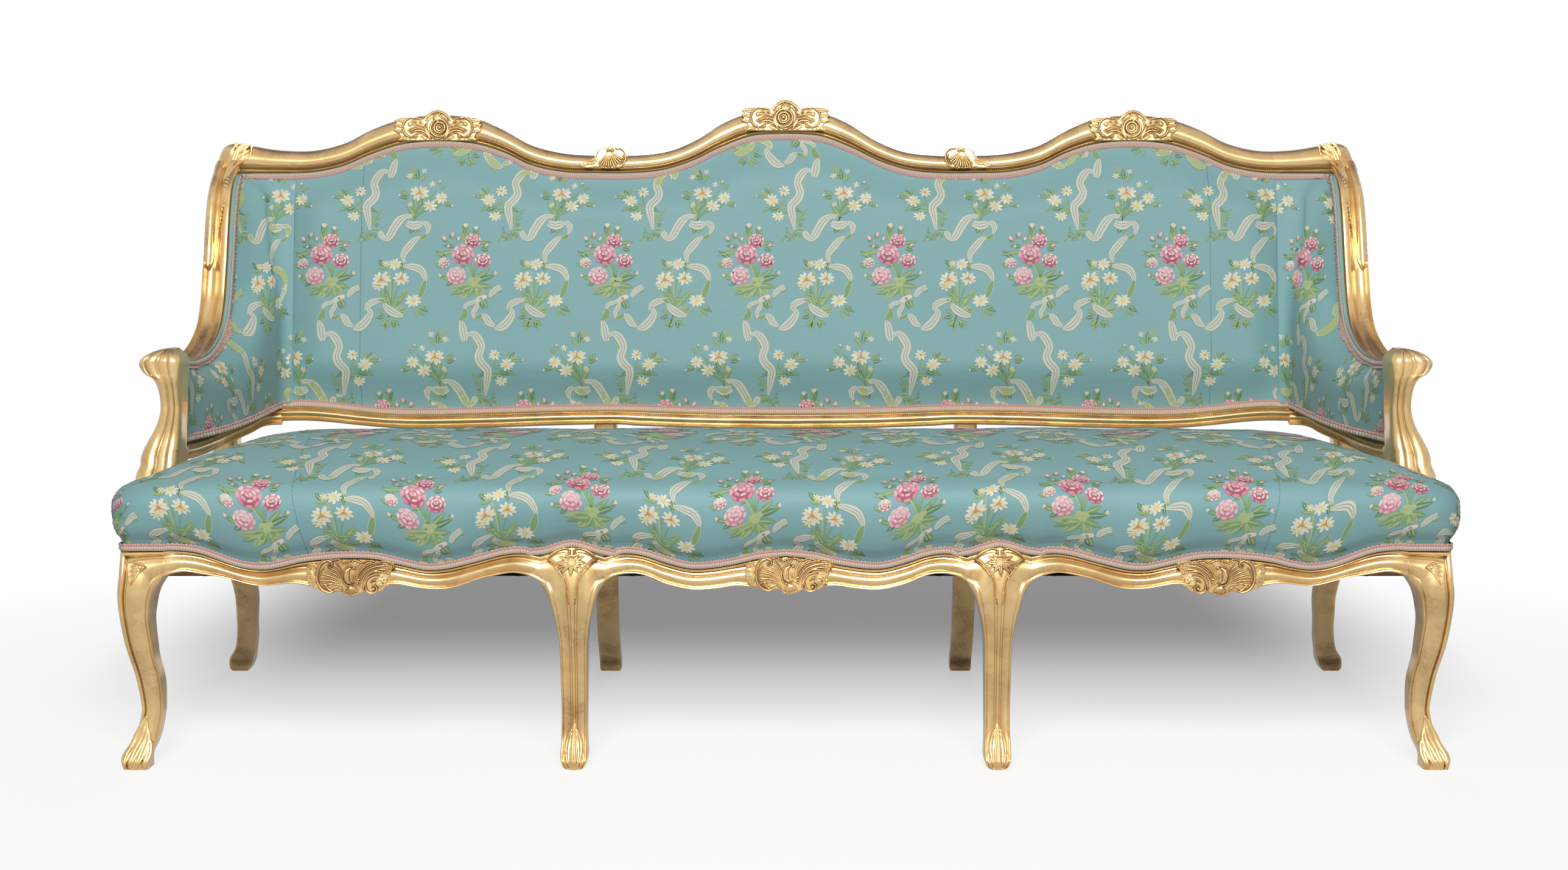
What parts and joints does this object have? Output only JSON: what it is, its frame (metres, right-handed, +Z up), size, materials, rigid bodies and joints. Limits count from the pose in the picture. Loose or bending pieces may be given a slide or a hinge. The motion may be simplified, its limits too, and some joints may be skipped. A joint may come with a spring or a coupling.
{
  "type": "sofa",
  "caption": "Long wing-backed cabriole sofa with a carved gilt frame on curved legs, a serpentine top rail, and a fixed padded seat, back and wings in flowered brocade.",
  "frame": {"origin": "on the floor, under the middle of the sofa's bounding box", "axes": "+X along the seat to the right as seen from the front, +Y from the front to the back, +Z up"},
  "size_m": [2.0872, 0.8883, 1.0536],
  "materials": {
    "gilt_wood": "gilded and burnished, with brown patina in the hollows",
    "bare_wood": "plain beech",
    "brocade": "teal satin ground with woven ribbons and bouquets",
    "gimp": "cream and pink braid",
    "hessian": "plain weave",
    "webbing": "herringbone jute",
    "spring_steel": "coppered wire",
    "lining": "black cambric",
    "tacks": "blued steel"
  },
  "bodies": {
    "root": {"front_corner_leg_left": "gilt_wood", "front_corner_leg_right": "gilt_wood", "front_inner_leg_left": "gilt_wood", "front_inner_leg_right": "gilt_wood", "rear_corner_leg_left": "gilt_wood", "rear_corner_leg_right": "gilt_wood", "rear_inner_leg_left": "gilt_wood", "rear_inner_leg_right": "gilt_wood", "front_rail_left": "gilt_wood", "front_rail_middle": "gilt_wood", "front_rail_right": "gilt_wood", "side_rail_left": "gilt_wood", "side_rail_right": "gilt_wood", "rear_rail_left": "bare_wood", "rear_rail_middle": "bare_wood", "rear_rail_right": "bare_wood", "cross_rail_left": "bare_wood", "cross_rail_right": "bare_wood", "corner_blocks": "bare_wood", "crest_rail": "gilt_wood", "back_bottom_rail": "gilt_wood", "wing_rail_left": "gilt_wood", "wing_rail_right": "gilt_wood", "arm_support_left": "gilt_wood", "arm_support_right": "gilt_wood", "wing_bottom_rail_left": "gilt_wood", "wing_bottom_rail_right": "gilt_wood", "crest_carving_left": "gilt_wood", "crest_carving_middle": "gilt_wood", "crest_carving_right": "gilt_wood", "crest_shell_left": "gilt_wood", "crest_shell_right": "gilt_wood", "rail_carving_left": "gilt_wood", "rail_carving_middle": "gilt_wood", "rail_carving_right": "gilt_wood", "knee_flowers": "gilt_wood", "corner_leaves": "gilt_wood", "seat_webbing": "webbing", "seat_springs": "spring_steel", "spring_hessian": "hessian", "seat_pad": "brocade", "seat_gimp": "gimp", "dust_cover": "lining", "dust_cover_tacks": "tacks", "back_hessian": "hessian", "back_pad": "brocade", "back_gimp": "gimp", "back_outer_panel": "brocade", "wing_hessian_left": "hessian", "wing_hessian_right": "hessian", "wing_pad_left": "brocade", "wing_pad_right": "brocade", "wing_gimp_left": "gimp", "wing_gimp_right": "gimp", "wing_outer_panel_left": "brocade", "wing_outer_panel_right": "brocade"}
  },
  "joints": []
}
